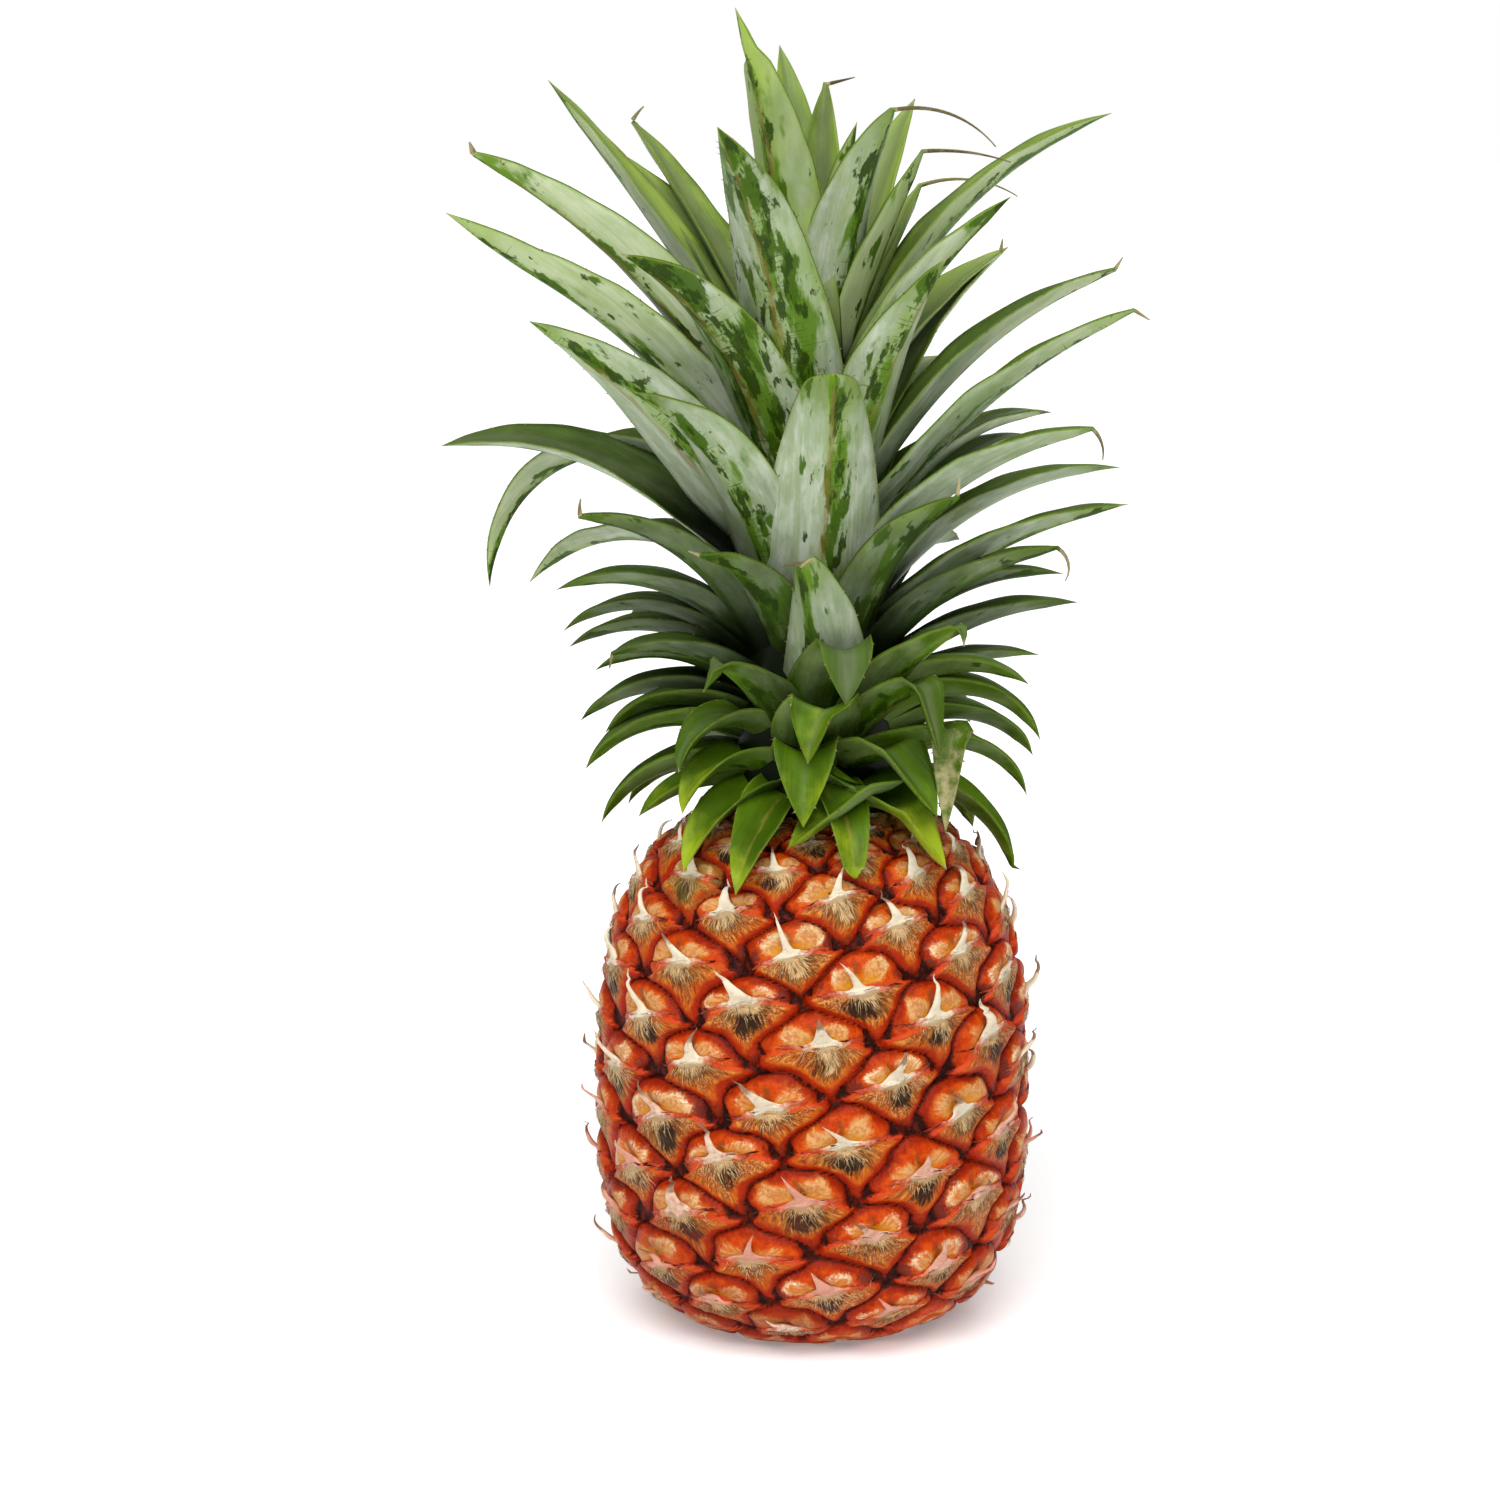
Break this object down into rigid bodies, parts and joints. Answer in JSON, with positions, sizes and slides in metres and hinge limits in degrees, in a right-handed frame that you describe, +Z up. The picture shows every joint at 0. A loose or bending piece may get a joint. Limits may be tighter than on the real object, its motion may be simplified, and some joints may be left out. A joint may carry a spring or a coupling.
{
  "type": "pineapple",
  "caption": "Whole ripe pineapple standing upright: barrel-shaped fruit with spined eyes in spiral rows, a cut stalk below, and a tall spreading crown of channelled leaves.",
  "frame": {"origin": "centre of the underside, on the axis of the fruit, at the level it stands on", "axes": "+Z up along the fruit's axis to the crown, +X to the right as seen from the front, -Y towards the front"},
  "size_m": [0.1943, 0.159, 0.3628],
  "materials": {
    "rind": "satin",
    "cut_stalk": "matt",
    "leaf": "satin"
  },
  "bodies": {
    "root": {"fruit": "rind", "stalk": "cut_stalk", "crown": "leaf"}
  },
  "joints": []
}
